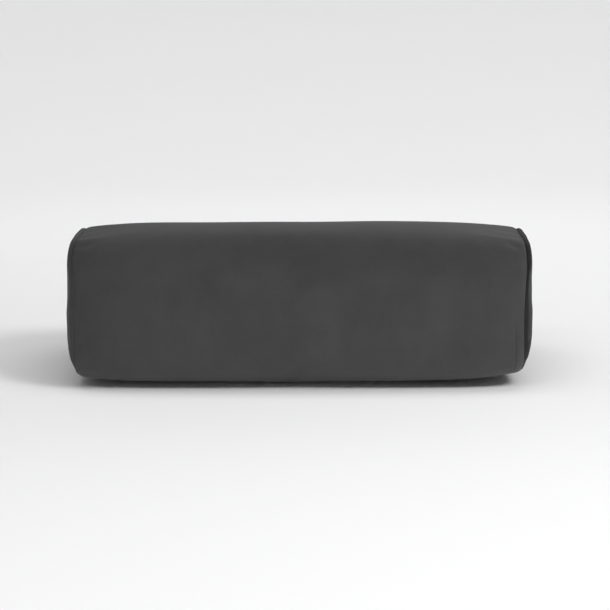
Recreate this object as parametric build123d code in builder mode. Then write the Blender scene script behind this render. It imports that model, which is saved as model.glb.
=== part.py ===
from build123d import *
import os

# Rectangular yoga bolster, in millimetres. X runs along its length, +Z is up, the zip is on the +Y side.
# The origin is the centre of the face that it rests on.

# Outer cover
COVER_DEPTH = 300.0  # front to back, along Y
COVER_HEIGHT = 200.0
SEAM_SPAN = 612.0  # between the two end seams
FULL_SPAN = 520.0  # the middle stretch that keeps the full section
END_INSET = 11.0  # how far the end seams sit inside the full section, all round
EDGE_RADIUS = 55.0  # of the long edges
END_PUFF = 24.0  # how far each end panel stands beyond its seam
FABRIC = 1.4
SEAM_ALLOWANCE = 8.0  # edges turned inwards at the end seams
THREAD = 1.0

# Inner cushion
LINER_GAP = 3.1  # between the cover's inside and the lining
LINER_SEAM_SPAN = 600.0
LINER_FULL_SPAN = 508.0
LINER_END_INSET = 16.5
LINER_FABRIC = 0.6
PACKING_GAP = 0.3
CORE_DEPTH = 216.0
CORE_HEIGHT = 130.0
CORE_RADIUS = 14.0

# Zip in the back face
BACK_Y = COVER_DEPTH / 2
ZIP_HEIGHT = 70.0  # of its centre line above the floor
CHAIN_SPAN = 480.0
SLOT_SPAN = 490.0
SLOT_WIDTH = 12.0
TAPE_SPAN = 504.0
TAPE_WIDTH = 14.0
TAPE_THICKNESS = 0.6
COIL_WIDTH = 2.7
COIL_THICKNESS = 2.0
CHAIN_GAP = 1.0  # between the two coils, for the slider's neck
STOP_LENGTH = 3.0
STITCH_OFFSET = 9.0  # of each stitch row from the zip's centre line
STITCH_WIDTH = 0.8
STITCH_PROUD = 0.4

# Slider and pull tab
SLIDER_LENGTH = 14.0
SLIDER_WIDTH = 9.2
PLATE = 1.1
FLANGE = 1.2
RUNNING = 0.2  # clearance round the coils and the tapes
NECK_LENGTH = 3.5
NECK_WIDTH = 0.7
BRIDGE_WIDTH = 3.0
BRIDGE_SPAN = 9.2
BRIDGE_THICKNESS = 1.0
BRIDGE_HEADROOM = 1.7
PIN_RADIUS = 0.6
PULL_LENGTH = 30.0
PULL_WIDTH = 8.0
PULL_EYE_LENGTH = 7.5
PULL_EYE_WIDTH = 4.4
PULL_HOLE_RADIUS = 1.6

MID_HEIGHT = COVER_HEIGHT / 2
INNER_FACE_Y = BACK_Y - FABRIC
TAPE_BACK_Y = INNER_FACE_Y - TAPE_THICKNESS
COIL_TOP_Y = INNER_FACE_Y + COIL_THICKNESS
TOP_PLATE_Y = COIL_TOP_Y + RUNNING
BRIDGE_FOOT_Y = TOP_PLATE_Y + PLATE
BOTTOM_PLATE_Y = TAPE_BACK_Y - RUNNING
PIN_Y = BRIDGE_FOOT_Y + BRIDGE_HEADROOM / 2
STOP_X = CHAIN_SPAN / 2 - STOP_LENGTH
SLIDER_X = STOP_X - SLIDER_LENGTH / 2 - RUNNING
LINER_DEPTH = COVER_DEPTH - 2 * (FABRIC + LINER_GAP)
LINER_HEIGHT = COVER_HEIGHT - 2 * (FABRIC + LINER_GAP)
LINER_RADIUS = EDGE_RADIUS - FABRIC - LINER_GAP
BATTING_INSET = LINER_FABRIC + PACKING_GAP
SIDES = {"left": -1, "right": 1}


def rounded_section(x, depth, height, radius):
    """A rounded rectangle across the bolster at x, centred on its middle height."""
    with BuildSketch(Plane.YZ.offset(x)) as section:
        with Locations((0, MID_HEIGHT)):
            RectangleRounded(depth, height, radius)
    return section.sketch


def tapered_sections(seam_span, full_span, depth, height, end_inset, radius):
    """The four sections of a bolster that narrows by end_inset towards its end seams."""
    end_depth = depth - 2 * end_inset
    end_height = height - 2 * end_inset
    end_radius = radius - end_inset / 2
    return [
        rounded_section(-seam_span / 2, end_depth, end_height, end_radius),
        rounded_section(-full_span / 2, depth, height, radius),
        rounded_section(full_span / 2, depth, height, radius),
        rounded_section(seam_span / 2, end_depth, end_height, end_radius),
    ]


def fabric_tube(seam_span, full_span, depth, height, end_inset, radius, thickness):
    """A panel of cloth sewn into a tube that is open at both ends."""
    outer = tapered_sections(seam_span, full_span, depth, height, end_inset, radius)
    inner = tapered_sections(
        seam_span,
        full_span,
        depth - 2 * thickness,
        height - 2 * thickness,
        end_inset,
        radius - thickness,
    )
    with BuildPart() as tube:
        loft(outer, ruled=True)
        loft(inner, ruled=True, mode=Mode.SUBTRACT)
    return tube.part


def puffed_dome(side, seam_span, depth, height, radius, puff):
    """A solid end cap that stands puff beyond the end seam, with a fully rounded rim."""
    with BuildPart() as dome:
        extrude(rounded_section(side * seam_span / 2, depth, height, radius), amount=side * puff)
        outer_face = dome.faces().sort_by(Axis.X)[-1 if side > 0 else 0]
        fillet(outer_face.edges(), puff - 2.0)
    return dome.part


def end_panel(side, seam_span, depth, height, radius, puff, thickness):
    """A puffed panel of cloth, open towards the middle of the bolster."""
    inner_size = (depth - 2 * thickness, height - 2 * thickness, radius - thickness)
    hollow = puffed_dome(side, seam_span, *inner_size, puff - thickness)
    with BuildPart() as panel:
        add(puffed_dome(side, seam_span, depth, height, radius, puff))
        add(hollow, mode=Mode.SUBTRACT)
    return panel.part


def seam_ring(x, thickness, outer_inset, inner_inset):
    """A ring across the bolster between two insets from the edge of the end seam, from x towards +X."""
    depth = COVER_DEPTH - 2 * END_INSET
    height = COVER_HEIGHT - 2 * END_INSET
    radius = EDGE_RADIUS - END_INSET / 2
    with BuildPart() as ring:
        with BuildSketch(Plane.YZ.offset(x)):
            with Locations((0, MID_HEIGHT)):
                RectangleRounded(
                    depth - 2 * outer_inset,
                    height - 2 * outer_inset,
                    radius - outer_inset,
                )
                RectangleRounded(
                    depth - 2 * inner_inset,
                    height - 2 * inner_inset,
                    radius - inner_inset,
                    mode=Mode.SUBTRACT,
                )
        extrude(amount=thickness)
    return ring.part


def zip_block(x_range, y_range, z_range):
    """A block of the zip. z_range is measured from the zip's centre line."""
    with BuildPart() as block:
        with BuildSketch(Plane.XZ.offset(-y_range[0])):
            with Locations(((x_range[0] + x_range[1]) / 2, ZIP_HEIGHT + sum(z_range) / 2)):
                Rectangle(x_range[1] - x_range[0], z_range[1] - z_range[0])
        extrude(amount=y_range[0] - y_range[1])
    return block.part


def cover_body():
    """The panel that wraps the bolster, with the zip slot in its back and its edges turned in at both ends."""
    with BuildPart() as body:
        add(
            fabric_tube(
                SEAM_SPAN,
                FULL_SPAN,
                COVER_DEPTH,
                COVER_HEIGHT,
                END_INSET,
                EDGE_RADIUS,
                FABRIC,
            )
        )
        add(seam_ring(-SEAM_SPAN / 2, FABRIC, 0, SEAM_ALLOWANCE))
        add(seam_ring(SEAM_SPAN / 2 - FABRIC, FABRIC, 0, SEAM_ALLOWANCE))
        add(
            zip_block(
                (-SLOT_SPAN / 2, SLOT_SPAN / 2),
                (BACK_Y - 3 * FABRIC, BACK_Y + FABRIC),
                (-SLOT_WIDTH / 2, SLOT_WIDTH / 2),
            ),
            mode=Mode.SUBTRACT,
        )
    return body.part


def cover_end(side):
    """A puffed end panel with its edge turned in behind the seam."""
    seam_x = side * SEAM_SPAN / 2
    with BuildPart() as end:
        add(
            end_panel(
                side,
                SEAM_SPAN,
                COVER_DEPTH - 2 * END_INSET,
                COVER_HEIGHT - 2 * END_INSET,
                EDGE_RADIUS - END_INSET / 2,
                END_PUFF,
                FABRIC,
            )
        )
        add(seam_ring(min(seam_x, seam_x + side * FABRIC), FABRIC, 0, SEAM_ALLOWANCE))
    return end.part


def end_seam_thread(side):
    """The overlock thread round the inner edge of the turned-in cloth."""
    start = side * SEAM_SPAN / 2 - FABRIC - THREAD / 2
    return seam_ring(start, 2 * FABRIC + THREAD, SEAM_ALLOWANCE, SEAM_ALLOWANCE + THREAD)


def zip_tape(side):
    """A woven tape behind the cover's folded edge. side is +1 above the chain and -1 below it."""
    near, far = side * CHAIN_GAP / 2, side * (CHAIN_GAP / 2 + TAPE_WIDTH)
    return zip_block(
        (-TAPE_SPAN / 2, TAPE_SPAN / 2),
        (TAPE_BACK_Y, INNER_FACE_Y),
        (min(near, far), max(near, far)),
    )


def zip_coil(side):
    """One row of the coil, on the outer face of its tape's edge, between the stops."""
    near, far = side * CHAIN_GAP / 2, side * (CHAIN_GAP / 2 + COIL_WIDTH)
    return zip_block(
        (-STOP_X, STOP_X),
        (INNER_FACE_Y, COIL_TOP_Y),
        (min(near, far), max(near, far)),
    )


def zip_top_stops():
    """Two crimped stops, one at the end of each coil, where the zip is shut."""
    near, far = CHAIN_GAP / 2, CHAIN_GAP / 2 + COIL_WIDTH
    with BuildPart() as stops:
        for low, high in ((near, far), (-far, -near)):
            add(
                zip_block(
                    (STOP_X, STOP_X + STOP_LENGTH),
                    (INNER_FACE_Y, COIL_TOP_Y),
                    (low, high),
                )
            )
        fillet(stops.faces().sort_by(Axis.Y)[-2:].edges().filter_by(Axis.X), 0.6)
    return stops.part


def zip_bottom_stop():
    """One stop across both coils, where the zip is open."""
    reach = CHAIN_GAP / 2 + COIL_WIDTH
    with BuildPart() as stop:
        add(
            zip_block(
                (-STOP_X - STOP_LENGTH, -STOP_X),
                (INNER_FACE_Y, COIL_TOP_Y),
                (-reach, reach),
            )
        )
        fillet(stop.faces().sort_by(Axis.Y)[-1].edges().filter_by(Axis.X), 0.6)
    return stop.part


def zip_stitch(side):
    """The row of thread that sews a tape to the cover."""
    middle = side * STITCH_OFFSET
    return zip_block(
        (-SLOT_SPAN / 2, SLOT_SPAN / 2),
        (BACK_Y, BACK_Y + STITCH_PROUD),
        (middle - STITCH_WIDTH / 2, middle + STITCH_WIDTH / 2),
    )


def zip_slider():
    """Two plates joined by a neck between the coils, flanges outside them and a bridge for the pull tab."""
    x_range = (SLIDER_X - SLIDER_LENGTH / 2, SLIDER_X + SLIDER_LENGTH / 2)
    half_width = SLIDER_WIDTH / 2
    neck_x = x_range[1] - NECK_LENGTH - 1.0
    with BuildPart() as slider:
        add(zip_block(x_range, (TOP_PLATE_Y, BRIDGE_FOOT_Y), (-half_width, half_width)))
        add(zip_block(x_range, (BOTTOM_PLATE_Y - PLATE, BOTTOM_PLATE_Y), (-half_width, half_width)))
        fillet(slider.edges().filter_by(Axis.Y), 2.0)
        for low, high in ((half_width - FLANGE, half_width), (-half_width, FLANGE - half_width)):
            flange_x = (x_range[0] + 2.5, x_range[1] - 2.5)
            add(zip_block(flange_x, (INNER_FACE_Y + RUNNING, TOP_PLATE_Y), (low, high)))
        neck_y = (BOTTOM_PLATE_Y, TOP_PLATE_Y)
        add(zip_block((neck_x, neck_x + NECK_LENGTH), neck_y, (-NECK_WIDTH / 2, NECK_WIDTH / 2)))
        add(slider_bridge())
    return slider.part


def slider_bridge():
    """The arch over the pull tab's pin."""
    crown_y = BRIDGE_FOOT_Y + BRIDGE_HEADROOM
    half_width = BRIDGE_WIDTH / 2
    outer_x = (SLIDER_X - BRIDGE_SPAN / 2, SLIDER_X + BRIDGE_SPAN / 2)
    inner_x = (outer_x[0] + FLANGE, outer_x[1] - FLANGE)
    with BuildPart() as bridge:
        add(zip_block(outer_x, (BRIDGE_FOOT_Y, crown_y + BRIDGE_THICKNESS), (-half_width, half_width)))
        fillet(bridge.faces().sort_by(Axis.Y)[-1].edges().filter_by(Axis.Z), 0.8)
        add(
            zip_block(inner_x, (BRIDGE_FOOT_Y, crown_y), (-half_width, half_width)),
            mode=Mode.SUBTRACT,
        )
    return bridge.part


def zip_pull():
    """A flat tab with an eye round the bridge. Its round pin runs under the bridge, and it points towards -X."""
    with BuildPart() as pull:
        with BuildSketch(Plane.XZ.offset(-PIN_Y)):
            with Locations((SLIDER_X - PULL_LENGTH / 2, ZIP_HEIGHT)):
                RectangleRounded(PULL_LENGTH, PULL_WIDTH, 2.2)
            with Locations((SLIDER_X - PULL_EYE_LENGTH / 2, ZIP_HEIGHT)):
                Rectangle(PULL_EYE_LENGTH, PULL_EYE_WIDTH, mode=Mode.SUBTRACT)
            with Locations((SLIDER_X - PULL_LENGTH + 3.6, ZIP_HEIGHT)):
                Circle(PULL_HOLE_RADIUS, mode=Mode.SUBTRACT)
        extrude(amount=PIN_RADIUS, both=True)
        with BuildSketch(Plane.XY.offset(ZIP_HEIGHT - PULL_WIDTH / 2 + 0.9)):
            with Locations((SLIDER_X, PIN_Y)):
                Circle(PIN_RADIUS)
        extrude(amount=PULL_WIDTH - 1.8)
    return pull.part


def liner_closing_thread():
    """The seam along the front of the lining, sewn last."""
    half_span = LINER_FULL_SPAN / 2
    with BuildPart() as thread:
        with BuildSketch(Plane.YZ.offset(-half_span)):
            with Locations((-LINER_DEPTH / 2 - THREAD / 2, MID_HEIGHT)):
                Rectangle(THREAD, THREAD)
        extrude(amount=2 * half_span)
    return thread.part


def batting_wrap():
    """Wadding wrapped round the core, as thick as the space inside the lining."""
    outer = tapered_sections(
        LINER_SEAM_SPAN,
        LINER_FULL_SPAN,
        LINER_DEPTH - 2 * BATTING_INSET,
        LINER_HEIGHT - 2 * BATTING_INSET,
        LINER_END_INSET,
        LINER_RADIUS - BATTING_INSET,
    )
    tunnel = rounded_section(
        -LINER_SEAM_SPAN / 2,
        CORE_DEPTH + 2 * PACKING_GAP,
        CORE_HEIGHT + 2 * PACKING_GAP,
        CORE_RADIUS + PACKING_GAP,
    )
    with BuildPart() as wrap:
        loft(outer, ruled=True)
        extrude(tunnel, amount=LINER_SEAM_SPAN, mode=Mode.SUBTRACT)
    return wrap.part


def batting_end(side):
    """A pad of wadding that fills the puffed end of the lining."""
    return puffed_dome(
        side,
        LINER_SEAM_SPAN,
        LINER_DEPTH - 2 * (LINER_END_INSET + BATTING_INSET),
        LINER_HEIGHT - 2 * (LINER_END_INSET + BATTING_INSET),
        LINER_RADIUS - LINER_END_INSET / 2 - BATTING_INSET,
        END_PUFF - BATTING_INSET,
    )


def foam_core():
    """The firm block in the middle."""
    length = LINER_SEAM_SPAN - 2 * PACKING_GAP
    with BuildPart() as core:
        extrude(rounded_section(-length / 2, CORE_DEPTH, CORE_HEIGHT, CORE_RADIUS), amount=length)
    return core.part


liner_tube = (LINER_SEAM_SPAN, LINER_FULL_SPAN, LINER_DEPTH, LINER_HEIGHT, LINER_END_INSET)
liner_end = (
    LINER_SEAM_SPAN,
    LINER_DEPTH - 2 * LINER_END_INSET,
    LINER_HEIGHT - 2 * LINER_END_INSET,
    LINER_RADIUS - LINER_END_INSET / 2,
    END_PUFF,
    LINER_FABRIC,
)

pieces = {
    "cover_body": cover_body(),
    "zip_top_stops": zip_top_stops(),
    "zip_bottom_stop": zip_bottom_stop(),
    "zip_slider": zip_slider(),
    "zip_pull": zip_pull(),
    "liner_body": fabric_tube(*liner_tube, LINER_RADIUS, LINER_FABRIC),
    "liner_closing_thread": liner_closing_thread(),
    "batting_wrap": batting_wrap(),
    "foam_core": foam_core(),
}
for name, side in SIDES.items():
    pieces[f"cover_end_{name}"] = cover_end(side)
    pieces[f"end_seam_thread_{name}"] = end_seam_thread(side)
    pieces[f"liner_end_{name}"] = end_panel(side, *liner_end)
    pieces[f"batting_end_{name}"] = batting_end(side)
for name, side in {"lower": -1, "upper": 1}.items():
    pieces[f"zip_tape_{name}"] = zip_tape(side)
    pieces[f"zip_coil_{name}"] = zip_coil(side)
    pieces[f"zip_stitch_{name}"] = zip_stitch(side)

os.makedirs("parts", exist_ok=True)
for name, piece in pieces.items():
    piece.label = name
    export_step(piece, f"parts/{name}.step")
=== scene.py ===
import math

import bpy
import numpy as np
from mathutils import Matrix, Vector, noise


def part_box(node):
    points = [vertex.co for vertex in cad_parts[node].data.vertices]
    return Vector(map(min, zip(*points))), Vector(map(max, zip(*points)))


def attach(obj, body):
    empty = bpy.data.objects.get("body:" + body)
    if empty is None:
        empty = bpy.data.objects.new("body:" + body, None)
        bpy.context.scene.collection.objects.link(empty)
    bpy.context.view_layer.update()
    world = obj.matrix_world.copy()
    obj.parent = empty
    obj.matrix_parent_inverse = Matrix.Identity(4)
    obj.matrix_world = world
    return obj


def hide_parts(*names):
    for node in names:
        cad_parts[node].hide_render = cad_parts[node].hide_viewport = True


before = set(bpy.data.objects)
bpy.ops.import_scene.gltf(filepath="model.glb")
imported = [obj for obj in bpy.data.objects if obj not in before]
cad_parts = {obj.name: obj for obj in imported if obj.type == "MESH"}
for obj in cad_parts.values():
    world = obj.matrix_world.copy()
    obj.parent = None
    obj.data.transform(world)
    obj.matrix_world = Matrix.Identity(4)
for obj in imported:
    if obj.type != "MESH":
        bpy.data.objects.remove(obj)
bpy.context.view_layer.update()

# Rectangular yoga bolster in brushed microfibre. Metres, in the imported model's frame: X along the bolster,
# +Y towards the back face with the zip, +Z up, floor at z = 0.

MM = 0.001

# Places read from the frame
BODY_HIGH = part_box("cover_body")[1]
END_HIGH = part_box("cover_end_right")[1]
TAPE_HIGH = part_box("zip_tape_upper")[1]
COIL_LOW, COIL_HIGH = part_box("zip_coil_upper")
STITCH_LOW, STITCH_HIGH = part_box("zip_stitch_upper")
LOWER_STITCH_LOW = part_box("zip_stitch_lower")[0]
LINER_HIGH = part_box("liner_body")[1]
BATTING_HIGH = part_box("batting_wrap")[1]
CORE_LOW, CORE_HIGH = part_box("foam_core")
CLOSING_LOW, CLOSING_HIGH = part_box("liner_closing_thread")
SEAM_X = BODY_HIGH.x
END_X = END_HIGH.x
BACK_Y = BODY_HIGH.y
ZIP_Z = (STITCH_HIGH.z + LOWER_STITCH_LOW.z) / 2
SLOT_X = STITCH_HIGH.x
FABRIC = BACK_Y - TAPE_HIGH.y
LINER_INSET = BACK_Y - LINER_HIGH.y
BATTING_INSET = BACK_Y - BATTING_HIGH.y
LINER_SEAM_X = LINER_HIGH.x
ENDS = ((-1, "left", 1), (1, "right", 2))  # side, name, number of its panel in the closed form

# Form of the filled cover
CROWN_TOP = BODY_HIGH.z + 8.5 * MM  # the middle of the top stands above the plain solid
CROWN = 7.0 * MM  # fall of the top from its middle to its long edges
TOP_RADIUS = 82.0 * MM
BOTTOM_RADIUS = 66.0 * MM
TOP_ROUNDING = 4.0 * MM  # the upper corners are this much rounder at an end seam
BOTTOM_SHARPENING = 14.0 * MM  # and the lower corners this much sharper
DEPTH_DIP = 18.0 * MM  # how far the front and back draw in towards an end seam
TOP_DIP = {-1: 9.0 * MM, 1: 10.5 * MM}
TOP_REACH = {-1: 26.0 * MM, 1: 28.0 * MM}
BOTTOM_DIP = {-1: 8.0 * MM, 1: 14.0 * MM}  # the right end lifts more
DIP_REACH = 22.0 * MM
BOTTOM_REACH = {-1: 22.0 * MM, 1: 40.0 * MM}
GROOVE = 4.0 * MM  # the seam itself lies this much deeper
GROOVE_REACH = 4.0 * MM
FRONT_BOW = 5.0 * MM
SEAM_PULL = 3.0 * MM  # the middle of each seam side is pulled inwards
SEAM_PULL_REACH = 30.0 * MM
TOP_STRETCH = {-1: 3.0 * MM, 1: 4.5 * MM}  # the top is this much longer at each end
BOTTOM_DRAW = 2.5 * MM  # and the underside this much shorter
SAG = 2.5 * MM  # the underside presses into the floor by this much before it flattens
CONTACT = 1.2 * MM  # how softly it flattens there
DOME_FLATNESS = 5.0  # a puffed end is flatter with a higher power
DOME_TOP_FLATNESS = 2.2  # that power is this many times higher along the top
DOME_EDGE = 0.55  # and this one sets how steeply it rises from its seam
DOME_CORNER_LOSS = 0.4  # part of its height that is missing at the upper corners
ROLL_OUT = 0.027  # how far an end rolls out over its seam, in parts of its size
ROLL_WIDTH = 0.045  # and how far in from the seam that roll lies

# Cloth simulation
CELL = 9.0 * MM
SWELL = 8.5 * MM  # how far the cloth is blown out, so the start shape is that much smaller
SWELL_REACH = 12.0 * MM  # the cloth is held at the end seams, so it moves less beside them
PRESSURE = 4.0
FRAMES = 20

# Zip surround
SLOT_HALF = 6.0 * MM
PLACKET_HALF = 12.0 * MM  # the strip beside the zip that the tapes keep flat
SURROUND_HALF = 34.0 * MM  # beyond this the cover is free of the zip
SURROUND_FADE = 14.0 * MM
CLOSING_DEPTH = 1.1 * MM  # the seam on the back that goes on from each end of the zip
CLOSING_HALF = 1.6 * MM
HEM_FOLDS = ((0.35, 0.30), (0.9, 0.35))  # the slot's rolled edge: (depth, inset) in millimetres

# Small wrinkles
UNEVEN = 0.9 * MM
UNEVEN_SIZE = 120.0 * MM
PUCKER = 0.55 * MM
PUCKER_REACH = 10.0 * MM
PUCKER_LENGTH = 30.0 * MM
PUCKER_WIDTH = 8.0 * MM
LOW_RIGHT_REACH = (35.0 * MM, 22.0 * MM)  # there are more puckers round the lower right corner
LOW_RIGHT_Z = 12.0 * MM
CREASE_X = SEAM_X - 15.0 * MM  # a soft upright crease low on the front, near the right end
CREASE_Z = (22.0 * MM, 92.0 * MM)
CREASE_DEPTH = 1.3 * MM
CREASE_WIDTH = 1.2 * MM
CREASE_RIDGE = (6.0 * MM, 4.0 * MM, 0.5)  # place, width and part of the depth of the ridge beside it

# Folded edges at the end seams: (depth, distance from the seam)
SEAM_FOLDS = ((1.2 * MM, 0.3 * MM), (4.0 * MM, 0.6 * MM), (8.0 * MM, 0.6 * MM))
THREAD_RADIUS = 0.35 * MM

# Inner cushion
LAYER_DRAW = 8.0 * MM  # each layer draws in this much further at the end seams
LAYER_DRAW_REACH = 25.0 * MM
CORE_RADIUS = 14.0 * MM

# Colours, linear
SUEDE_COLOR = (0.042, 0.042, 0.0424)
THREAD_COLOR = (0.045, 0.045, 0.046)
TAPE_COLOR = (0.028, 0.028, 0.029)
COIL_COLOR = (0.030, 0.030, 0.031)
METAL_COLOR = (0.16, 0.16, 0.165)
COTTON_COLOR = (0.78, 0.74, 0.66)
WADDING_COLOR = (0.88, 0.88, 0.86)
FOAM_COLOR = (0.80, 0.74, 0.58)
PAPER_COLOR = (0.80, 0.80, 0.805)

# Camera and studio
CAMERA_TARGET = (7.0 * MM, 0.0, 92.4 * MM)
CAMERA_AZIMUTH = 0.8
CAMERA_ELEVATION = 12.0
CAMERA_ROLL = 0.26
CAMERA_DISTANCE = 2.53
CAMERA_LENS = 105.5
# Soft lights: name, place, what it faces, size, watts, what it falls on. The stage and the bolster have
# lights of their own, and the right end panel is left out of the low, front, right_front and right ones, so
# it stays in shade.
LIGHTS = (
    ("stage_overhead", (0.0, -0.2, 3.0), (0.0, 0.0, 0.1), (3.4, 1.4), 36.0, "stage"),
    ("stage_key", (1.9, -1.5, 2.4), (0.0, 0.0, 0.1), (1.0, 1.0), 50.0, "stage"),
    ("stage_near", (0.0, -2.0, 2.5), (0.0, -1.6, 0.0), (4.5, 0.6), 43.0, "stage"),
    ("stage_far", (0.0, 0.9, 2.0), (0.0, 1.9, 1.5), (4.5, 0.6), 43.0, "stage"),
    ("stage_front", (0.0, -2.0, 2.4), (0.0, -3.0, 2.0), (4.5, 0.6), 28.0, "stage"),
    ("overhead", (0.0, 0.0, 3.0), (0.0, 0.0, 0.1), (3.0, 2.0), 33.0, "bolster"),
    ("back", (0.3, 3.0, 0.55), (0.0, 0.0, 0.1), (2.6, 0.5), 7.0, "bolster"),
    ("right_back", (2.2, 2.4, 1.2), (0.0, 0.0, 0.1), (1.2, 1.0), 12.0, "bolster"),
    ("low", (0.0, -1.6, 0.12), (0.0, 0.0, 0.1), (3.0, 0.2), 8.0, "all but the right end"),
    ("front", (0.7, -2.4, 0.75), (0.0, 0.0, 0.1), (3.0, 0.4), 24.0, "all but the right end"),
    ("right_front", (2.6, -2.0, 1.0), (0.0, 0.0, 0.1), (1.2, 1.0), 14.0, "all but the right end"),
    ("right", (2.8, -0.7, 1.0), (0.0, 0.0, 0.1), (1.0, 1.0), 24.0, "all but the right end"),
)
AMBIENT = 0.06


# ---------------------------------------------------------------- meshes

def mesh_object(name, points, faces):
    """A smooth-shaded mesh object from arrays of points and faces."""
    mesh = bpy.data.meshes.new(name)
    mesh.from_pydata([tuple(p) for p in points], [], [tuple(int(i) for i in f) for f in faces])
    mesh.update()
    mesh.shade_smooth()
    obj = bpy.data.objects.new(name, mesh)
    bpy.context.scene.collection.objects.link(obj)
    return obj


def coordinates(mesh):
    """A mesh's points as an array."""
    flat = np.zeros(len(mesh.vertices) * 3)
    mesh.vertices.foreach_get("co", flat)
    return flat.reshape(-1, 3)


def move_points(obj, points):
    """Gives the object's mesh new point positions."""
    obj.data.vertices.foreach_set("co", points.ravel())
    obj.data.update()


def bake(obj):
    """Applies every modifier of obj to its mesh."""
    depsgraph = bpy.context.evaluated_depsgraph_get()
    mesh = bpy.data.meshes.new_from_object(obj.evaluated_get(depsgraph))
    obj.modifiers.clear()
    old = obj.data
    obj.data = mesh
    bpy.data.meshes.remove(old)
    mesh.name = obj.name
    return obj


def subdivide(obj, levels=1):
    """Smooths obj by subdivision and applies it."""
    modifier = obj.modifiers.new("smooth", "SUBSURF")
    modifier.levels = modifier.render_levels = levels
    return bake(obj)


def thicken(obj, thickness):
    """Gives a sheet its thickness, inwards."""
    modifier = obj.modifiers.new("thickness", "SOLIDIFY")
    modifier.thickness = thickness
    modifier.offset = -1
    return bake(obj)


def grid_faces(rows, columns, wrap=False):
    """Quads over a rows by columns grid of points, closed across its columns if wrap is true."""
    faces = []
    for i in range(rows - 1):
        for j in range(columns if wrap else columns - 1):
            k = (j + 1) % columns
            faces.append((i * columns + j, i * columns + k, (i + 1) * columns + k, (i + 1) * columns + j))
    return faces


def boundary_loops(mesh):
    """The open edges of a mesh as loops of point numbers, in order."""
    count = {}
    for polygon in mesh.polygons:
        for key in polygon.edge_keys:
            count[key] = count.get(key, 0) + 1
    links = {}
    for (a, b), n in count.items():
        if n == 1:
            links.setdefault(a, []).append(b)
            links.setdefault(b, []).append(a)
    loops = []
    while links:
        first = next(iter(links))
        loop, seen = [first], {first}
        while True:
            ahead = [n for n in links[loop[-1]] if n not in seen]
            if not ahead:
                break
            loop.append(ahead[0])
            seen.add(ahead[0])
        for a in loop:
            links.pop(a)
        loops.append(loop)
    return loops


def runs_with_faces(loop, faces):
    """Whether a loop of points runs the way that the faces beside it do."""
    directed = {(f[k], f[(k + 1) % len(f)]) for f in faces for k in range(len(f))}
    return (loop[0], loop[1]) in directed


def rebuild(mesh, points, faces):
    """Replaces a mesh's points and faces."""
    mesh.clear_geometry()
    mesh.from_pydata(points, [], faces)
    mesh.update()
    mesh.shade_smooth()


def extend_edge(obj, loop, rings):
    """Joins rings of new points, one after another, to an open edge of obj."""
    mesh = obj.data
    points = [tuple(p) for p in coordinates(mesh)]
    faces = [tuple(p.vertices) for p in mesh.polygons]
    forward = runs_with_faces(loop, faces)
    last = list(loop)
    for ring in rings:
        new = list(range(len(points), len(points) + len(loop)))
        points += [tuple(p) for p in ring]
        for k in range(len(loop)):
            n = (k + 1) % len(loop)
            quad = (last[n], last[k], new[k], new[n])
            faces.append(quad if forward else quad[::-1])
        last = new
    rebuild(mesh, points, faces)


def sweep(path, radii, sides=5):
    """Points and faces of a closed tube along a path, with a radius at each of its points."""
    path = np.asarray(path, float)
    radii = np.broadcast_to(radii, len(path))
    tangents = np.gradient(path, axis=0)
    tangents /= np.linalg.norm(tangents, axis=1, keepdims=True)
    normal = np.cross(tangents[0], (0.31, 0.87, 0.39))
    points = []
    for place, tangent, radius in zip(path, tangents, radii):
        normal = normal - tangent * (normal @ tangent)
        normal /= np.linalg.norm(normal)
        across = np.cross(tangent, normal)
        for k in range(sides):
            turn = 2 * math.pi * k / sides
            points.append(place + radius * (math.cos(turn) * normal + math.sin(turn) * across))
    faces = grid_faces(len(path), sides, wrap=True)
    last = (len(path) - 1) * sides
    faces.append(tuple(range(sides))[::-1])
    faces.append(tuple(range(last, last + sides)))
    return points, [f[::-1] for f in faces]


def swept_object(name, paths, radii, sides=5):
    """One object of many tubes."""
    points, faces = [], []
    for path in paths:
        new_points, new_faces = sweep(path, radii, sides)
        faces += [tuple(i + len(points) for i in f) for f in new_faces]
        points += new_points
    return mesh_object(name, points, faces)


def add_piece(obj, material, nodes):
    """Gives a finished piece its material and the CAD nodes that it stands for."""
    obj.data.materials.clear()
    obj.data.materials.append(material)
    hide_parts(*nodes)
    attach(obj, "cover")


# ---------------------------------------------------------------- the bolster's form

def side_point(fraction, half_length, half_height, low_radius, high_radius):
    """A point on a rounded rectangle's side, from the middle of one corner, -1, to the next one's, 1."""
    low_arc = low_radius * math.pi / 4
    high_arc = high_radius * math.pi / 4
    flat = 2 * half_length - low_radius - high_radius
    along = (fraction + 1) / 2 * (low_arc + flat + high_arc)
    if along < low_arc:
        turn = math.pi / 4 * (1 - along / low_arc)
        inset = low_radius * (1 - math.cos(turn))
        return -(half_length - low_radius) - low_radius * math.sin(turn), half_height - inset
    if along <= low_arc + flat:
        return along - low_arc - (half_length - low_radius), half_height
    turn = math.pi / 4 * (along - low_arc - flat) / high_arc
    inset = high_radius * (1 - math.cos(turn))
    return (half_length - high_radius) + high_radius * math.sin(turn), half_height - inset


def square_point(u, v, form):
    """Carries a point of the square from -1 to 1 onto a section of the bolster, ring by ring."""
    half_depth, top, bottom, top_radius, bottom_radius = form
    middle, half_height = (top + bottom) / 2, (top - bottom) / 2
    level = max(abs(u), abs(v))
    if level < 1e-9:
        return 0.0, middle
    if abs(v) >= abs(u):
        radius = top_radius if v > 0 else bottom_radius
        y, z = side_point(u / level, half_depth, half_height, radius, radius)
        return level * y, middle + math.copysign(level * z, v)
    z, y = side_point(v / level, half_height, half_depth, bottom_radius, top_radius)
    return math.copysign(level * y, u), middle + level * z


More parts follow.
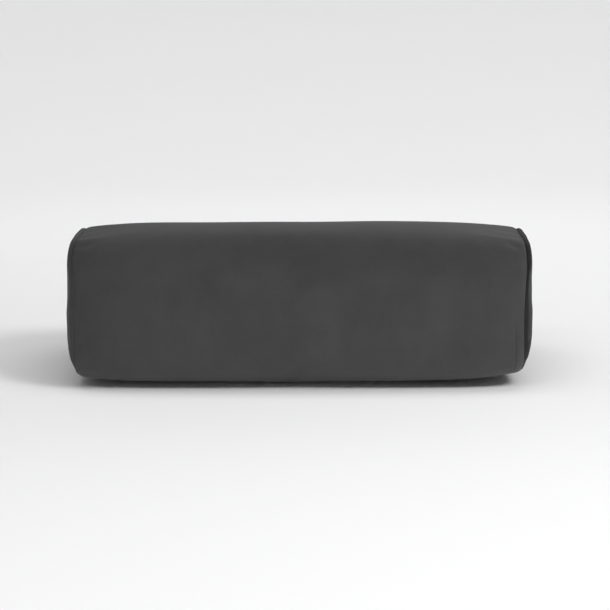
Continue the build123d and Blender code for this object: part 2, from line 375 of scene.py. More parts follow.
def ring_squares(columns, rows):
    """The square's boundary points, once round: top, back, bottom, front."""
    ring = [(u, 1.0) for u in columns[:-1]]
    ring += [(1.0, v) for v in rows[:0:-1]]
    ring += [(u, -1.0) for u in columns[:0:-1]]
    ring += [(-1.0, v) for v in rows[:-1]]
    return ring


def tube_points(stations, ring, section):
    """A ring of points at each station."""
    points = []
    for x in stations:
        form = section(x)
        points += [(x, *square_point(u, v, form)) for u, v in ring]
    return points


def closed_form(stations, columns, rows, section, dome):
    """A closed mesh: a ring for each station, and a grid over each end.

    dome(level, across, rise) says how far an end stands out, and how much wider it is, where its ring has
    shrunk to that level. across and rise are the place on the square's edge. Returns points, faces and each
    face's panel: 0 wrap, 1 left end, 2 right end.
    """
    ring = ring_squares(columns, rows)
    points = tube_points(stations, ring, section)
    faces = [f[::-1] for f in grid_faces(len(stations), len(ring), wrap=True)]
    panels = [0] * len(faces)
    for side, x, first in ((-1, stations[0], 0), (1, stations[-1], (len(stations) - 1) * len(ring))):
        form = section(x)
        middle = (form[1] + form[2]) / 2
        index = {square: first + k for k, square in enumerate(ring)}
        for u in columns:
            for v in rows:
                level = max(abs(u), abs(v))
                if (u, v) in index:
                    continue
                shrunk = 1 - (1 - level) ** 1.4  # rings lie closer together near the seam
                out, wider = dome(shrunk, u / max(level, 1e-9), v / max(level, 1e-9))
                scale = (shrunk + wider) / max(level, 1e-9)
                y, z = square_point(u, v, form)
                index[(u, v)] = len(points)
                points.append((x + side * out, y * scale, middle + (z - middle) * scale))
        for i in range(len(columns) - 1):
            for j in range(len(rows) - 1):
                corners = [
                    index[(columns[i], rows[j])],
                    index[(columns[i + 1], rows[j])],
                    index[(columns[i + 1], rows[j + 1])],
                    index[(columns[i], rows[j + 1])],
                ]
                faces.append(corners if side > 0 else corners[::-1])
                panels.append(1 if side < 0 else 2)
    return np.array(points), faces, np.array(panels)


def steps(low, high, cell):
    """Evenly spaced values from low to high, at most a cell apart."""
    return list(np.linspace(low, high, max(2, math.ceil((high - low) / cell) + 1)))


def start_section(x):
    """The cover's section at x before it is blown up. It is already full size at the end seams."""
    side = 1 if x > 0 else -1
    distance = SEAM_X - abs(x)
    near = math.exp(-distance / DIP_REACH)
    near_above = math.exp(-distance / TOP_REACH[side])
    near_below = math.exp(-distance / BOTTOM_REACH[side])
    swell = SWELL * (1 - math.exp(-distance / SWELL_REACH))
    groove = GROOVE * math.exp(-distance / GROOVE_REACH)
    half_depth = BACK_Y - swell - groove - DEPTH_DIP * near
    top = CROWN_TOP - swell - groove - TOP_DIP[side] * near_above
    bottom = swell + groove - SAG * (1 - near) + BOTTOM_DIP[side] * near_below
    top_radius = TOP_RADIUS - swell + TOP_ROUNDING * near
    bottom_radius = BOTTOM_RADIUS - swell - BOTTOM_SHARPENING * near
    return half_depth, top, bottom, top_radius, bottom_radius


def cover_grid():
    """Stations along the bolster and the square's columns and rows, with lines along the zip."""
    near_seam = (0, 1.5, 3.5, 6.5, 9.5, 12, 13.5, 14.6, 15.5, 16.6, 18.5, 22, 27, 33, 40, 48)
    slot_lines = [SLOT_X - 3 * MM, SLOT_X, SLOT_X + 3 * MM]
    half = [SEAM_X - d * MM for d in near_seam] + slot_lines + steps(0.0, SLOT_X - 11 * MM, CELL)
    stations = sorted({round(x, 6) for x in half} | {round(-x, 6) for x in half})
    columns = [round(c, 6) for c in np.linspace(-1, 1, 35)]
    middle_form = start_section(0.0)
    fractions = np.linspace(-1, 1, 801)
    heights = [square_point(1.0, v, middle_form)[1] for v in fractions]
    near_zip = (-16, -12, -8.5, -6, -3, -1.2, 0, 1.2, 3, 6, 8.5, 12, 16)
    zip_rows = [float(np.interp(ZIP_Z + d * MM, heights, fractions)) for d in near_zip]
    gap = 0.05
    rows = [v for v in np.linspace(-1, 1, 27) if v < zip_rows[0] - gap or v > zip_rows[-1] + gap]
    return stations, columns, sorted(round(float(v), 6) for v in rows + zip_rows)


def start_dome(level, across, rise):
    """The profile of a puffed end before it is blown up.

    It is full along its top, where it rolls out over the seam, flatter towards its upper corners and
    rounder towards its underside.
    """
    upright = rise ** 7
    power = DOME_FLATNESS * DOME_TOP_FLATNESS ** upright
    out = (END_X - SEAM_X - SWELL) * (1 - level ** power) ** DOME_EDGE
    out *= 1 - DOME_CORNER_LOSS * abs(across) * max(rise, 0)
    near = (1 - level) / ROLL_WIDTH
    return out, ROLL_OUT * (1 + upright) * near * math.exp(1 - near)


def in_placket(points):
    """Which points lie on the strip that the zip's tapes keep flat."""
    x, y, z = points.T
    return (y > 0) & (abs(z - ZIP_Z) < PLACKET_HALF + 0.5 * MM) & (abs(x) < SLOT_X + 6 * MM)


def start_shape():
    """The closed cover before it is blown up, with its placket already on the zip."""
    stations, columns, rows = cover_grid()
    points, faces, panels = closed_form(stations, columns, rows, start_section, start_dome)
    x, y, z = points.T
    half_depth, top, bottom = start_section(SEAM_X)[:3]
    middle, half_height = (top + bottom) / 2, (top - bottom) / 2
    # the middle of each seam side is pulled in, and the corners stay out
    near = np.exp(-np.maximum(SEAM_X - abs(x), 0) / SEAM_PULL_REACH)
    toward_corner = np.minimum(1, (y / half_depth) ** 2 * ((z - middle) / half_height) ** 2 * 2.2)
    high = np.clip((z - middle) / half_height, 0, 1) ** 2
    low = np.clip((middle - z) / half_height, 0, 1) ** 2
    for side in (-1, 1):
        draw = SEAM_PULL * (1 - toward_corner) - TOP_STRETCH[side] * high + BOTTOM_DRAW * low
        points[:, 0] -= side * draw * near * (x * side > 0)
    # the front is fuller in its middle
    points[:, 1] -= FRONT_BOW * np.clip(1 - (x / SEAM_X) ** 2, 0, 1) * np.clip(-y / half_depth, 0, 1)
    # the top is crowned
    above = np.clip((z - middle) / half_height, 0, 1)
    points[:, 2] -= CROWN * (y / BACK_Y) ** 2 * above
    # the zip's surround is flat, level with the tapes
    flat = np.exp(-np.maximum(abs(z - ZIP_Z) - PLACKET_HALF, 0) / SURROUND_FADE) * (y > BACK_Y / 2)
    flat *= np.clip((SLOT_X + 42 * MM - abs(x)) / (34 * MM), 0, 1)
    points[:, 1] += flat * np.maximum(0, BACK_Y - points[:, 1])
    return points, faces, panels, stations, ring_squares(columns, rows)


def panel_points(faces, panels, panel):
    """The numbers of the points that a panel's faces use."""
    used = set()
    for face, number in zip(faces, panels):
        if number == panel:
            used.update(face)
    return used


def inflate(points, faces, panels):
    """Blows the cover up as cloth, held at the end seams and the zip, and returns its points."""
    obj = mesh_object("cloth_start", points, faces)
    wrap, left, right = (panel_points(faces, panels, n) for n in range(3))
    held = in_placket(points)
    held[list(wrap & (left | right))] = True
    group = obj.vertex_groups.new(name="held")
    group.add([int(i) for i in np.flatnonzero(held)], 1.0, "REPLACE")
    cloth = obj.modifiers.new("cloth", "CLOTH")
    settings = cloth.settings
    settings.quality = 6
    settings.mass = 0.3
    settings.tension_stiffness = 25
    settings.compression_stiffness = 25
    settings.shear_stiffness = 10
    settings.bending_stiffness = 2.0
    settings.use_pressure = True
    settings.uniform_pressure_force = PRESSURE
    settings.vertex_group_mass = "held"
    settings.effector_weights.gravity = 0
    cloth.collision_settings.use_collision = False
    cloth.point_cache.frame_start = 1
    cloth.point_cache.frame_end = FRAMES
    scene = bpy.context.scene
    for number in range(1, FRAMES + 1):
        scene.frame_set(number)
    bake(obj)
    moved = coordinates(obj.data) - points
    bpy.data.objects.remove(obj)
    scene.frame_set(1)
    # a soft limit, so that no edge shows where the cap begins
    length = np.linalg.norm(moved, axis=1, keepdims=True)
    moved *= SWELL * np.tanh(length / SWELL) / np.maximum(length, 1e-9)
    moved[held] = 0
    return points + moved


def beside_zip(points):
    """How much each point belongs to the flat surround of the zip, from 0 to 1."""
    x, y, z = points.T
    across = np.clip((SURROUND_HALF - abs(z - ZIP_Z)) / (16 * MM), 0, 1)
    along = np.clip((SLOT_X + SURROUND_HALF - abs(x)) / (18 * MM), 0, 1)
    return across * along * (y > BACK_Y / 2)


def settle(points):
    """Makes the filling slightly uneven, and rests the underside flat on the floor."""
    points = points.copy()
    bumps = np.array([noise.noise(Vector(p) / UNEVEN_SIZE) for p in points])
    outward = points - (0, 0, CROWN_TOP / 2)
    outward[:, 0] *= np.abs(points[:, 0]) > SEAM_X
    outward /= np.maximum(np.linalg.norm(outward, axis=1, keepdims=True), 1e-9)
    points += outward * (UNEVEN * bumps * (1 - beside_zip(points)))[:, None]
    points[:, 2] = CONTACT * np.logaddexp(0, points[:, 2] / CONTACT)
    return points


def wrinkle(points):
    """Adds puckers along the end seams and a soft crease low on the front near the right end."""
    points = points.copy()
    x, y, z = points.T
    from_seam = abs(abs(x) - SEAM_X + SEAM_PULL / 2)
    reach_x, reach_z = LOW_RIGHT_REACH
    low_right = np.exp(-((x - SEAM_X) / reach_x) ** 2 - ((z - LOW_RIGHT_Z) / reach_z) ** 2)
    size = PUCKER * np.exp(-from_seam / PUCKER_REACH) * (1 + 0.8 * low_right)
    near = np.flatnonzero(size > 0.02 * MM)
    ripple = np.zeros(len(points))
    for i in near:
        ripple[i] = noise.noise(Vector((x[i] / PUCKER_LENGTH, y[i] / PUCKER_WIDTH, z[i] / PUCKER_WIDTH)))
    outward = points - (0, 0, CROWN_TOP / 2)
    outward[:, 0] = 0
    outward /= np.maximum(np.linalg.norm(outward, axis=1, keepdims=True), 1e-9)
    points += outward * (size * ripple)[:, None]
    middle, half = sum(CREASE_Z) / 2, (CREASE_Z[1] - CREASE_Z[0]) / 2
    window = np.exp(-((z - middle) / half) ** 4) * (y < 0)
    across = x - CREASE_X - 1 * MM * np.sin(z / (30 * MM))
    ridge_x, ridge_width, ridge_part = CREASE_RIDGE
    valley = np.exp(-(across / CREASE_WIDTH) ** 2)
    valley -= ridge_part * np.exp(-((across - ridge_x) / ridge_width) ** 2)
    points[:, 1] += CREASE_DEPTH * window * valley
    return points


# ---------------------------------------------------------------- cover

def panel_mesh(name, points, faces, panels, wanted, keep=None):
    """One panel of the closed form as an object of its own."""
    chosen = [f for f, p in zip(faces, panels) if p == wanted]
    if keep is not None:
        chosen = [f for f in chosen if keep(points[list(f)].mean(0))]
    used = sorted({i for f in chosen for i in f})
    index = {old: new for new, old in enumerate(used)}
    return mesh_object(name, points[used], [[index[i] for i in f] for f in chosen])


def outside_slot(centre):
    """Whether a face of the wrap stays when the zip's slot is cut."""
    x, y, z = centre
    return not (y > BACK_Y / 2 and abs(x) < SLOT_X and abs(z - ZIP_Z) < SLOT_HALF)


def ring_outward(ring):
    """The direction out of a ring at each of its points, in the plane across the bolster."""
    along = np.roll(ring, -1, axis=0) - np.roll(ring, 1, axis=0)
    out = np.stack([np.zeros(len(ring)), along[:, 2], -along[:, 1]], axis=1)
    out /= np.linalg.norm(out, axis=1, keepdims=True)
    if ((ring - ring.mean(0)) * out).sum() < 0:
        out = -out
    return out


def fold_in(obj, loop, away):
    """Turns the edge at an end seam inwards. away is the X direction that this panel's edge keeps to."""
    ring = coordinates(obj.data)[loop]
    out = ring_outward(ring)
    rings = [ring - out * depth + (away * gap, 0, 0) for depth, gap in SEAM_FOLDS]
    extend_edge(obj, loop, rings)
    return rings[-1] - (away * SEAM_FOLDS[-1][1], 0, 0), out


def fold_hem(obj, loop):
    """Rolls the edge of the zip's slot in behind itself."""
    ring = coordinates(obj.data)[loop]
    toward = np.sign(ring[:, 2] - ZIP_Z)
    rings = []
    for depth, inset in HEM_FOLDS:
        moved = ring.copy()
        moved[:, 1] -= depth * MM
        moved[:, 2] -= toward * inset * MM
        rings.append(moved)
    extend_edge(obj, loop, rings)


def draw_seam_line(points):
    """The wrap's closing seam, a shallow line on the back from each end of the zip to the end seam."""
    x, y, z = points.T
    along = np.clip((abs(x) - SLOT_X - 2 * MM) / (6 * MM), 0, 1) * (y > BACK_Y / 2)
    points[:, 1] -= CLOSING_DEPTH * along * np.exp(-((z - ZIP_Z) / CLOSING_HALF) ** 2)
    return points


def build_cover(points, faces, panels):
    """The three panels of the cover. Returns the folded edges at the end seams."""
    suede = suede_material("cover_suede")
    wrap = panel_mesh("cover_wrap_panel", points, faces, panels, 0, outside_slot)
    subdivide(wrap)
    move_points(wrap, draw_seam_line(wrinkle(coordinates(wrap.data))))
    edges = {}
    for loop in boundary_loops(wrap.data):
        middle = coordinates(wrap.data)[loop][:, 0].mean()
        if abs(middle) < SEAM_X / 2:
            fold_hem(wrap, loop)
        else:
            side = 1 if middle > 0 else -1
            edges[side] = fold_in(wrap, loop, -side)
    thicken(wrap, FABRIC)
    add_piece(wrap, suede, ["cover_body"])
    for side, name, panel in ENDS:
        end = panel_mesh(f"cover_end_panel_{name}", points, faces, panels, panel)
        subdivide(end)
        move_points(end, wrinkle(coordinates(end.data)))
        fold_in(end, boundary_loops(end.data)[0], side)
        thicken(end, FABRIC)
        add_piece(end, suede, [f"cover_end_{name}"])
    return edges


def build_end_threads(edges):
    """The overlock thread that binds both folded edges at each end seam.

    It runs up one side, back over the edge, and up the other.
    """
    thread = thread_material("cover_thread", THREAD_COLOR)
    reach = SEAM_FOLDS[-1][1] + FABRIC + THREAD_RADIUS
    pattern = [(-1, 3.0), (-1, -0.6), (1, -0.6), (1, 3.0), (1, -0.6), (-1, -0.6)]
    pitch = 1.1 * MM
    for side, name, _ in ENDS:
        ring, out = edges[side]
        ring = np.vstack([ring, ring[:1]])
        out = np.vstack([out, out[:1]])
        length = np.concatenate([[0], np.cumsum(np.linalg.norm(np.diff(ring, axis=0), axis=1))])
        count = int(length[-1] / pitch / len(pattern)) * len(pattern)
        path = []
        for k, s in enumerate(np.linspace(0, length[-1], count, endpoint=False)):
            place = np.array([np.interp(s, length, ring[:, c]) for c in range(3)])
            away = np.array([np.interp(s, length, out[:, c]) for c in range(3)])
            across, height = pattern[k % len(pattern)]
            path.append(place + away * height * MM + (across * reach, 0, 0))
        obj = swept_object(f"end_seam_overlock_{name}", [path], THREAD_RADIUS, sides=4)
        add_piece(obj, thread, [f"end_seam_thread_{name}"])


# ---------------------------------------------------------------- zip

def build_zip():
    """Nylon coils, the stitches along the tapes, and materials for the zip's metal and tapes."""
    coil_material = nylon_material("zip_coil")
    stitch_material = thread_material("zip_stitch", THREAD_COLOR)
    wire = 0.34 * MM
    pitch = 1.5 * MM
    points_per_turn = 8
    y_middle = (COIL_LOW.y + COIL_HIGH.y) / 2
    y_reach = (COIL_HIGH.y - COIL_LOW.y) / 2 - wire
    z_middle = (COIL_LOW.z + COIL_HIGH.z) / 2 - ZIP_Z
    z_reach = (COIL_HIGH.z - COIL_LOW.z) / 2 - wire
    turns = int((COIL_HIGH.x - COIL_LOW.x) / pitch)
    for side, name in ((-1, "lower"), (1, "upper")):
        turn = np.arange(turns * points_per_turn + 1) / points_per_turn
        phase = 2 * math.pi * turn + (math.pi if side < 0 else 0)
        path = np.stack(
            [
                COIL_LOW.x + pitch * turn,
                y_middle + y_reach * np.sin(phase),
                ZIP_Z + side * (z_middle + z_reach * np.cos(phase)),
            ],
            axis=1,
        )
        coil = swept_object(f"zip_coil_turns_{name}", [path], wire)
        add_piece(coil, coil_material, [f"zip_coil_{name}"])
        row_z = ZIP_Z + side * ((STITCH_LOW.z + STITCH_HIGH.z) / 2 - ZIP_Z)
        stitches = stitch_row(f"zip_stitches_{name}", row_z)
        add_piece(stitches, stitch_material, [f"zip_stitch_{name}"])
    tape = tape_material("zip_tape")
    for node in ("zip_tape_upper", "zip_tape_lower"):
        assign(node, tape)
    metal = metal_material("zip_metal")
    for node in ("zip_slider", "zip_pull", "zip_top_stops", "zip_bottom_stop"):
        assign(node, metal)


def stitch_row(name, z):
    """Short lockstitches along X on the zip's surround."""
    pitch, length = 3.4 * MM, 2.7 * MM
    count = int((STITCH_HIGH.x - STITCH_LOW.x) / pitch)
    rise = np.array([-0.25, -0.02, 0.05, 0.05, -0.02, -0.25]) * MM
    along = np.array([-0.5, -0.38, -0.15, 0.15, 0.38, 0.5]) * length
    paths = []
    for k in range(count):
        x = STITCH_LOW.x + pitch * (k + 0.5)
        paths.append(np.stack([x + along, BACK_Y + rise, np.full(len(along), z)], axis=1))
    return swept_object(name, paths, THREAD_RADIUS, sides=6)


def assign(node, material):
    """Gives a CAD node a better material."""
    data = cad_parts[node].data
    data.materials.clear()
    data.materials.append(material)


# ---------------------------------------------------------------- inner cushion

def inner_layer(points, inset):
    """The filled cover's form brought inwards on all sides, and further at the end seams."""
    x, y, z = points.T
    near = np.exp(-np.maximum(SEAM_X - abs(x), 0) / LAYER_DRAW_REACH)
    drawn = inset + LAYER_DRAW * near
    shift = SEAM_X - LINER_SEAM_X + inset - LINER_INSET
    middle = CROWN_TOP / 2
    return np.stack(
        [
            x - np.sign(x) * shift * np.minimum(1, abs(x) / SEAM_X),
            y * (1 - drawn / BACK_Y),
            middle + (z - middle) * (1 - drawn / middle),
        ],
        axis=1,
    )


def build_liner(points, faces, panels, stations, ring):
    """The cotton lining: a tube, two ends, and the whip stitches that close it along the front."""
    cotton = cotton_material("lining_cotton")
    inner = inner_layer(points, LINER_INSET)
    thickness = BATTING_INSET - LINER_INSET - 0.3 * MM
    for panel, name, node in ((0, "liner_tube", "liner_body"), (1, "liner_cap_left", "liner_end_left"),
                              (2, "liner_cap_right", "liner_end_right")):
        obj = panel_mesh(name, inner, faces, panels, panel)
        thicken(obj, thickness)
        add_piece(obj, cotton, [node])
    # the closing stitches follow the front of the lining at mid height
    rings = inner[: len(stations) * len(ring)].reshape(len(stations), len(ring), 3)
    front = [k for k, (u, v) in enumerate(ring) if u == -1.0 and abs(v) < 1]
    seam_z = (CLOSING_LOW.z + CLOSING_HIGH.z) / 2
    column = min(front, key=lambda k: abs(rings[len(stations) // 2, k, 2] - seam_z))
    line = rings[:, column]
    over = [(-1.2, 0.3, -2.2), (-0.8, -0.3, -1.6), (0, -0.45, 0), (0.8, -0.3, 1.6), (1.2, 0.3, 2.2)]
    paths = []
    for x in np.arange(CLOSING_LOW.x + 3 * MM, CLOSING_HIGH.x - 3 * MM, 5 * MM):
        y, z = (np.interp(x, line[:, 0], line[:, c]) for c in (1, 2))
        paths.append(np.array([x, y, z]) + np.array(over) * MM)
    stitches = swept_object("liner_whip_stitches", paths, THREAD_RADIUS)
    thread = thread_material("lining_thread", COTTON_COLOR)
    add_piece(stitches, thread, ["liner_closing_thread"])


def build_wadding(points, faces, panels, stations, ring):
    """Soft wadding wrapped round the core, with a pad in each puffed end."""
    wadding = wadding_material("wadding")
    inner = inner_layer(points, BATTING_INSET)
    tunnel_gap = 0.3 * MM
    depth, top, bottom = CORE_HIGH.y + tunnel_gap, CORE_HIGH.z + tunnel_gap, CORE_LOW.z - tunnel_gap
    form = (depth, top, bottom, CORE_RADIUS, CORE_RADIUS)
    outer = inner[: len(stations) * len(ring)]
    tunnel = np.array(tube_points(stations, ring, lambda x: form))
    tunnel[:, 0] = np.clip(outer[:, 0], -LINER_SEAM_X, LINER_SEAM_X)
    faces_out = [f[::-1] for f in grid_faces(len(stations), len(ring), wrap=True)]
    faces_in = [tuple(i + len(outer) for i in f[::-1]) for f in faces_out]
    last = (len(stations) - 1) * len(ring)
    caps = []
    for k in range(len(ring)):
        n = (k + 1) % len(ring)
        caps.append((k, n, n + len(outer), k + len(outer)))
        caps.append((last + n, last + k, last + k + len(outer), last + n + len(outer)))
    wrap = mesh_object("batting_wrap_roll", np.vstack([outer, tunnel]), faces_out + faces_in + caps)
    add_piece(wrap, wadding, ["batting_wrap"])
    for side, name, panel in ENDS:
        pad = panel_mesh(f"batting_pad_{name}", inner, faces, panels, panel)
        rim = boundary_loops(pad.data)[0]
        edge = coordinates(pad.data)[rim]
        centre = edge.mean(0)
        centre[0] = side * (LINER_SEAM_X + 0.5 * MM)
        back = edge.copy()
        back[:, 0] = centre[0]
        rings = [centre + (back - centre) * scale for scale in (0.97, 0.7, 0.4, 0.12)]
        extend_edge(pad, rim, rings)
        close_hole(pad)
        add_piece(pad, wadding, [f"batting_end_{name}"])


def close_hole(obj):
    """Shuts the one opening of obj with a single face."""
    loop = boundary_loops(obj.data)[0]
    points = [tuple(p) for p in coordinates(obj.data)]
    faces = [tuple(p.vertices) for p in obj.data.polygons]
    faces.append(tuple(loop[::-1] if runs_with_faces(loop, faces) else loop))
    rebuild(obj.data, points, faces)


def build_core():
    """The firm foam block, with softened edges."""
    form = (CORE_HIGH.y, CORE_HIGH.z, CORE_LOW.z, CORE_RADIUS, CORE_RADIUS)
    stations = [-CORE_HIGH.x, *steps(-CORE_HIGH.x + 2 * MM, CORE_HIGH.x - 2 * MM, 20 * MM), CORE_HIGH.x]
    columns = [round(c, 6) for c in np.linspace(-1, 1, 21)]
    rows = [round(c, 6) for c in np.linspace(-1, 1, 15)]
    points, faces, panels = closed_form(stations, columns, rows, lambda x: form, lambda *place: (0.0, 0.0))
    core = mesh_object("foam_block", points, faces)
    add_piece(core, foam_material("foam"), ["foam_core"])


# ---------------------------------------------------------------- materials

def new_material(name, color, roughness, metallic=0.0):
    """A material with its shader, its node tree and object coordinates."""
    material = bpy.data.materials.new(name)
    material.use_nodes = True
    nodes = material.node_tree.nodes
    shader = nodes["Principled BSDF"]
    shader.inputs["Base Color"].default_value = (*color, 1)
    shader.inputs["Roughness"].default_value = roughness
    shader.inputs["Metallic"].default_value = metallic
    place = nodes.new("ShaderNodeTexCoord")
    return material, material.node_tree, shader, place.outputs["Object"]


def stretched(tree, place, stretch):
    """Coordinates scaled along each axis."""
    mapping = tree.nodes.new("ShaderNodeMapping")
    mapping.inputs["Scale"].default_value = stretch
    tree.links.new(place, mapping.inputs["Vector"])
    return mapping.outputs["Vector"]


def add_noise(tree, place, scale, detail=2.0, stretch=(1, 1, 1), distortion=0.0):
    """A noise texture at so many features a metre. Returns its value."""
    texture = tree.nodes.new("ShaderNodeTexNoise")
    texture.inputs["Scale"].default_value = scale
    texture.inputs["Detail"].default_value = detail
    texture.inputs["Distortion"].default_value = distortion
    tree.links.new(stretched(tree, place, stretch), texture.inputs["Vector"])
    return texture.outputs["Fac"]


def add_waves(tree, place, pitch, axis, distortion=0.0):
    """Evenly spaced ridges across an axis, a pitch apart. Returns their height."""
    texture = tree.nodes.new("ShaderNodeTexWave")
    texture.bands_direction = axis
    texture.inputs["Scale"].default_value = math.pi / (10 * pitch)
    texture.inputs["Distortion"].default_value = distortion
    texture.inputs["Detail"].default_value = 1.0
    tree.links.new(place, texture.inputs["Vector"])
    return texture.outputs["Fac"]


def add_cells(tree, place, scale):
    """The distance to the nearest of many scattered points."""
    texture = tree.nodes.new("ShaderNodeTexVoronoi")
    texture.inputs["Scale"].default_value = scale
    tree.links.new(place, texture.inputs["Vector"])
    return texture.outputs["Distance"]


def math_node(tree, operation, a, b):
    """One arithmetic step on two values, each a socket or a number."""
    node = tree.nodes.new("ShaderNodeMath")
    node.operation = operation
    for socket, value in zip(node.inputs, (a, b)):
        if isinstance(value, (int, float)):
            socket.default_value = value
        else:
            tree.links.new(value, socket)
    return node.outputs[0]


def spread(tree, value, low, high, start=0.3, end=0.7):
    """Carries a value from its usual range onto low to high."""
    node = tree.nodes.new("ShaderNodeMapRange")
    node.inputs["From Min"].default_value = start
    node.inputs["From Max"].default_value = end
    node.inputs["To Min"].default_value = low
    node.inputs["To Max"].default_value = high
    tree.links.new(value, node.inputs["Value"])
    return node.outputs["Result"]


def shade_color(tree, shader, color, factor):
    """The base colour multiplied by a varying factor."""
    mix = tree.nodes.new("ShaderNodeVectorMath")
    mix.operation = "SCALE"
    mix.inputs[0].default_value = color
    tree.links.new(factor, mix.inputs["Scale"])
    tree.links.new(mix.outputs["Vector"], shader.inputs["Base Color"])


def add_bump(tree, shader, height, strength, distance, before=None):
    """A bump of that height, on top of an earlier one."""
    bump = tree.nodes.new("ShaderNodeBump")
    bump.inputs["Strength"].default_value = strength
    bump.inputs["Distance"].default_value = distance
    tree.links.new(height, bump.inputs["Height"])
    if before is not None:
        tree.links.new(before, bump.inputs["Normal"])
    tree.links.new(bump.outputs["Normal"], shader.inputs["Normal"])
    return bump.outputs["Normal"]


def set_sheen(shader, weight, roughness, tint):
    """A soft sheen at grazing angles, and very little gloss."""
    shader.inputs["Specular IOR Level"].default_value = 0.12
    shader.inputs["Sheen Weight"].default_value = weight
    shader.inputs["Sheen Roughness"].default_value = roughness
    shader.inputs["Sheen Tint"].default_value = (*tint, 1)


def suede_material(name):
    """Brushed microfibre: matte, with a short nap that clouds where hands stroked it and a soft sheen."""
    material, tree, shader, place = new_material(name, SUEDE_COLOR, 0.95)
    set_sheen(shader, 0.10, 0.5, (0.8, 0.8, 0.82))
    clouds = spread(tree, add_noise(tree, place, 9.0, 3.0, (1, 1, 1.6), 0.6), 0.93, 1.07)
    strokes = spread(tree, add_noise(tree, place, 38.0, 4.0, (1, 1, 0.4), 0.5), 0.95, 1.05)
    nap = spread(tree, add_noise(tree, place, 1500.0, 2.0), 0.84, 1.16)
    factor = math_node(tree, "MULTIPLY", math_node(tree, "MULTIPLY", clouds, strokes), nap)
    shade_color(tree, shader, SUEDE_COLOR, factor)
    drape = add_bump(tree, shader, add_noise(tree, place, 150.0, 3.0, (1, 1, 0.6)), 0.10, 0.6 * MM)
    add_bump(tree, shader, add_noise(tree, place, 1500.0, 2.0), 0.35, 0.12 * MM, drape)
    return material


def thread_material(name, color):
    """Matte sewing thread, with its twist."""
    material, tree, shader, place = new_material(name, color, 0.8)
    set_sheen(shader, 0.2, 0.4, (0.8, 0.8, 0.8))
    shade_color(tree, shader, color, spread(tree, add_noise(tree, place, 900.0), 0.8, 1.2))
    add_bump(tree, shader, add_waves(tree, place, 0.5 * MM, "DIAGONAL", 1.0), 0.5, 0.1 * MM)
    return material


def tape_material(name):
    """The zip's woven tape: fine ribs along it, crossed by the weft."""
    material, tree, shader, place = new_material(name, TAPE_COLOR, 0.85)
    set_sheen(shader, 0.15, 0.4, (0.8, 0.8, 0.8))
    along, weft = add_waves(tree, place, 0.55 * MM, "X"), add_waves(tree, place, 0.8 * MM, "Z")
    ribs = math_node(tree, "MULTIPLY", along, weft)
    # The colour follows the ribs: painted highlight on their crests and painted shade in the hollows between
    # them.
    shade_color(tree, shader, TAPE_COLOR, spread(tree, ribs, 0.7, 1.3, 0.0, 1.0))
    add_bump(tree, shader, ribs, 0.6, 0.12 * MM)
    return material


def nylon_material(name):
    """Satin nylon monofilament."""
    material, tree, shader, place = new_material(name, COIL_COLOR, 0.42)
    shade_color(tree, shader, COIL_COLOR, spread(tree, add_noise(tree, place, 300.0), 0.85, 1.15))
    tree.links.new(spread(tree, add_noise(tree, place, 120.0, 3.0), 0.36, 0.50), shader.inputs["Roughness"])
    return material


def metal_material(name):
    """Die-cast zinc in black nickel, with fine scratches and a rubbed, uneven finish."""
    material, tree, shader, place = new_material(name, METAL_COLOR, 0.35, 0.9)
    shade_color(tree, shader, METAL_COLOR, spread(tree, add_noise(tree, place, 180.0, 4.0), 0.75, 1.25))
    tree.links.new(spread(tree, add_noise(tree, place, 260.0, 4.0), 0.26, 0.46), shader.inputs["Roughness"])
    cast = add_bump(tree, shader, add_noise(tree, place, 700.0, 3.0), 0.15, 0.08 * MM)
    add_bump(tree, shader, add_noise(tree, place, 900.0, 2.0, (0.08, 1, 1)), 0.12, 0.05 * MM, cast)
    return material


def cotton_material(name):
    """Plain woven cotton lining."""
    material, tree, shader, place = new_material(name, COTTON_COLOR, 0.9)
    set_sheen(shader, 0.2, 0.4, (1.0, 0.98, 0.94))
    weave = math_node(
        tree,
        "MULTIPLY",
        add_waves(tree, place, 0.7 * MM, "X", 0.3),
        add_waves(tree, place, 0.7 * MM, "Z", 0.3),
    )
    slubs = spread(tree, add_noise(tree, place, 60.0, 4.0, (0.1, 1, 1)), 0.93, 1.06)
    # The slubs vary the yarn's own tone; the weave's hollows are painted darker, a painted shade between the
    # threads.
    tone_and_painted_shade = math_node(tree, "MULTIPLY", slubs, spread(tree, weave, 0.9, 1.06, 0, 1))
    shade_color(tree, shader, COTTON_COLOR, tone_and_painted_shade)
    add_bump(tree, shader, weave, 0.4, 0.12 * MM)
    return material


def wadding_material(name):
    """Carded polyester wadding: matted fibres that run round the roll."""
    material, tree, shader, place = new_material(name, WADDING_COLOR, 0.95)
    set_sheen(shader, 0.4, 0.6, (1.0, 1.0, 1.0))
    fibres = add_noise(tree, place, 420.0, 5.0, (1, 0.25, 0.25), 1.2)
    lumps = add_noise(tree, place, 30.0, 3.0)
    shade_color(tree, shader, WADDING_COLOR, math_node(
        tree, "MULTIPLY", spread(tree, fibres, 0.88, 1.06), spread(tree, lumps, 0.95, 1.03)))
    soft = add_bump(tree, shader, lumps, 0.5, 3.0 * MM)
    add_bump(tree, shader, fibres, 0.6, 0.8 * MM, soft)
    return material


def foam_material(name):
    """Open-cell foam with its pores and cut faces."""
    material, tree, shader, place = new_material(name, FOAM_COLOR, 0.95)
    pores = add_cells(tree, place, 650.0)
    tone_and_painted_shade = spread(tree, add_noise(tree, place, 14.0, 3.0), 0.95, 1.04)
    # The pores are painted darker, a painted shade in their hollows, on top of the foam's own tone.
    tone_and_painted_shade = math_node(tree, "MULTIPLY", tone_and_painted_shade, spread(tree, pores, 0.82, 1.05, 0, 0.6))
    shade_color(tree, shader, FOAM_COLOR, tone_and_painted_shade)
    add_bump(tree, shader, pores, 0.6, 0.6 * MM)
    return material


# ---------------------------------------------------------------- studio

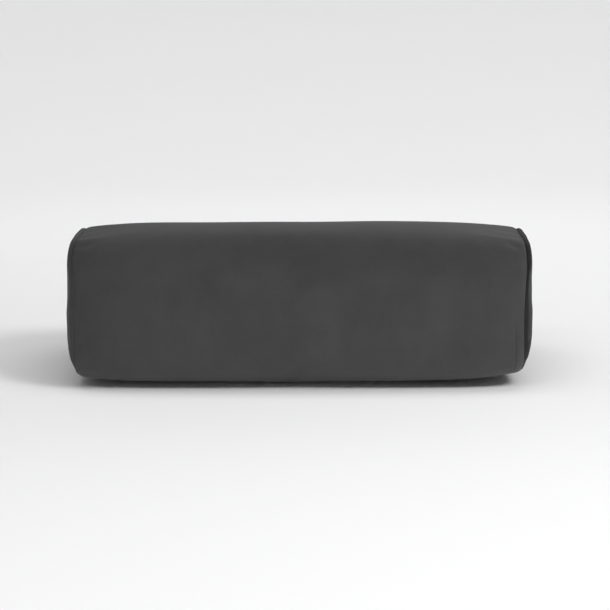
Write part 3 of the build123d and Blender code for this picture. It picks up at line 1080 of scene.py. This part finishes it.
def build_stage():
    """A pale round floor that curves up into a wall all round."""
    centre_y, flat, bend, height = -0.8, 2.6, 2.4, 4.0
    profile = [(0.8, 0.0), (1.7, 0.0), (flat, 0.0)]
    for k in range(1, 25):
        turn = k / 24 * math.pi / 2
        profile.append((flat + bend * math.sin(turn), bend - bend * math.cos(turn)))
    profile.append((flat + bend, height))
    sides = 96
    points = []
    for radius, z in profile:
        for k in range(sides):
            turn = 2 * math.pi * k / sides
            points.append((radius * math.cos(turn), centre_y + radius * math.sin(turn), z))
    faces = [f[::-1] for f in grid_faces(len(profile), sides, wrap=True)]
    faces.append(tuple(range(sides)))
    floor = mesh_object("studio_sweep", points, faces)
    material, _, shader, _ = new_material("studio_paper", PAPER_COLOR, 0.95)
    shader.inputs["Specular IOR Level"].default_value = 0.05
    floor.data.materials.append(material)


def build_lights():
    """Large soft lights, some for the stage and some for the bolster, and a dim surround."""
    stage = bpy.data.objects["studio_sweep"]
    shaded_end = bpy.data.objects["cover_end_panel_right"]
    for name, place, target, size, watts, lit in LIGHTS:
        data = bpy.data.lights.new(name, "AREA")
        data.shape = "RECTANGLE"
        data.size, data.size_y = size
        data.energy = watts
        light = bpy.data.objects.new(name, data)
        bpy.context.scene.collection.objects.link(light)
        light.visible_camera = False
        light.location = place
        light.rotation_mode = "QUATERNION"
        light.rotation_quaternion = (Vector(target) - Vector(place)).to_track_quat("-Z", "Y")
        group = bpy.data.collections.new(f"{name}_light_receivers")
        light.light_linking.receiver_collection = group
        group.objects.link(stage)
        if lit == "all but the right end":
            group.objects.link(shaded_end)
        for entry in group.collection_objects:
            entry.light_linking.link_state = "INCLUDE" if lit == "stage" else "EXCLUDE"
    world = bpy.data.worlds.new("studio")
    bpy.context.scene.world = world
    world.use_nodes = True
    background = world.node_tree.nodes["Background"]
    background.inputs["Color"].default_value = (1, 1, 1, 1)
    background.inputs["Strength"].default_value = AMBIENT


def build_camera():
    """Nearly level and square on, from the front."""
    data = bpy.data.cameras.new("camera")
    camera = bpy.data.objects.new("camera", data)
    bpy.context.scene.collection.objects.link(camera)
    turn, rise = math.radians(CAMERA_AZIMUTH), math.radians(CAMERA_ELEVATION)
    back = Vector((math.sin(turn) * math.cos(rise), -math.cos(turn) * math.cos(rise), math.sin(rise)))
    look = (-back).to_track_quat("-Z", "Y").to_matrix()
    roll = Matrix.Rotation(math.radians(-CAMERA_ROLL), 3, "Z")
    camera.location = Vector(CAMERA_TARGET) + back * CAMERA_DISTANCE
    camera.rotation_mode = "QUATERNION"
    camera.rotation_quaternion = (look @ roll).to_quaternion()
    data.sensor_width = 36.0
    data.lens = CAMERA_LENS
    bpy.context.scene.camera = camera


# ---------------------------------------------------------------- the scene

bpy.context.scene.view_settings.view_transform = "Standard"
start, faces, panels, stations, ring = start_shape()
filled = settle(inflate(start, faces, panels))
edges = build_cover(filled, faces, panels)
build_end_threads(edges)
build_zip()
build_liner(filled, faces, panels, stations, ring)
build_wadding(filled, faces, panels, stations, ring)
build_core()
build_stage()
build_lights()
build_camera()
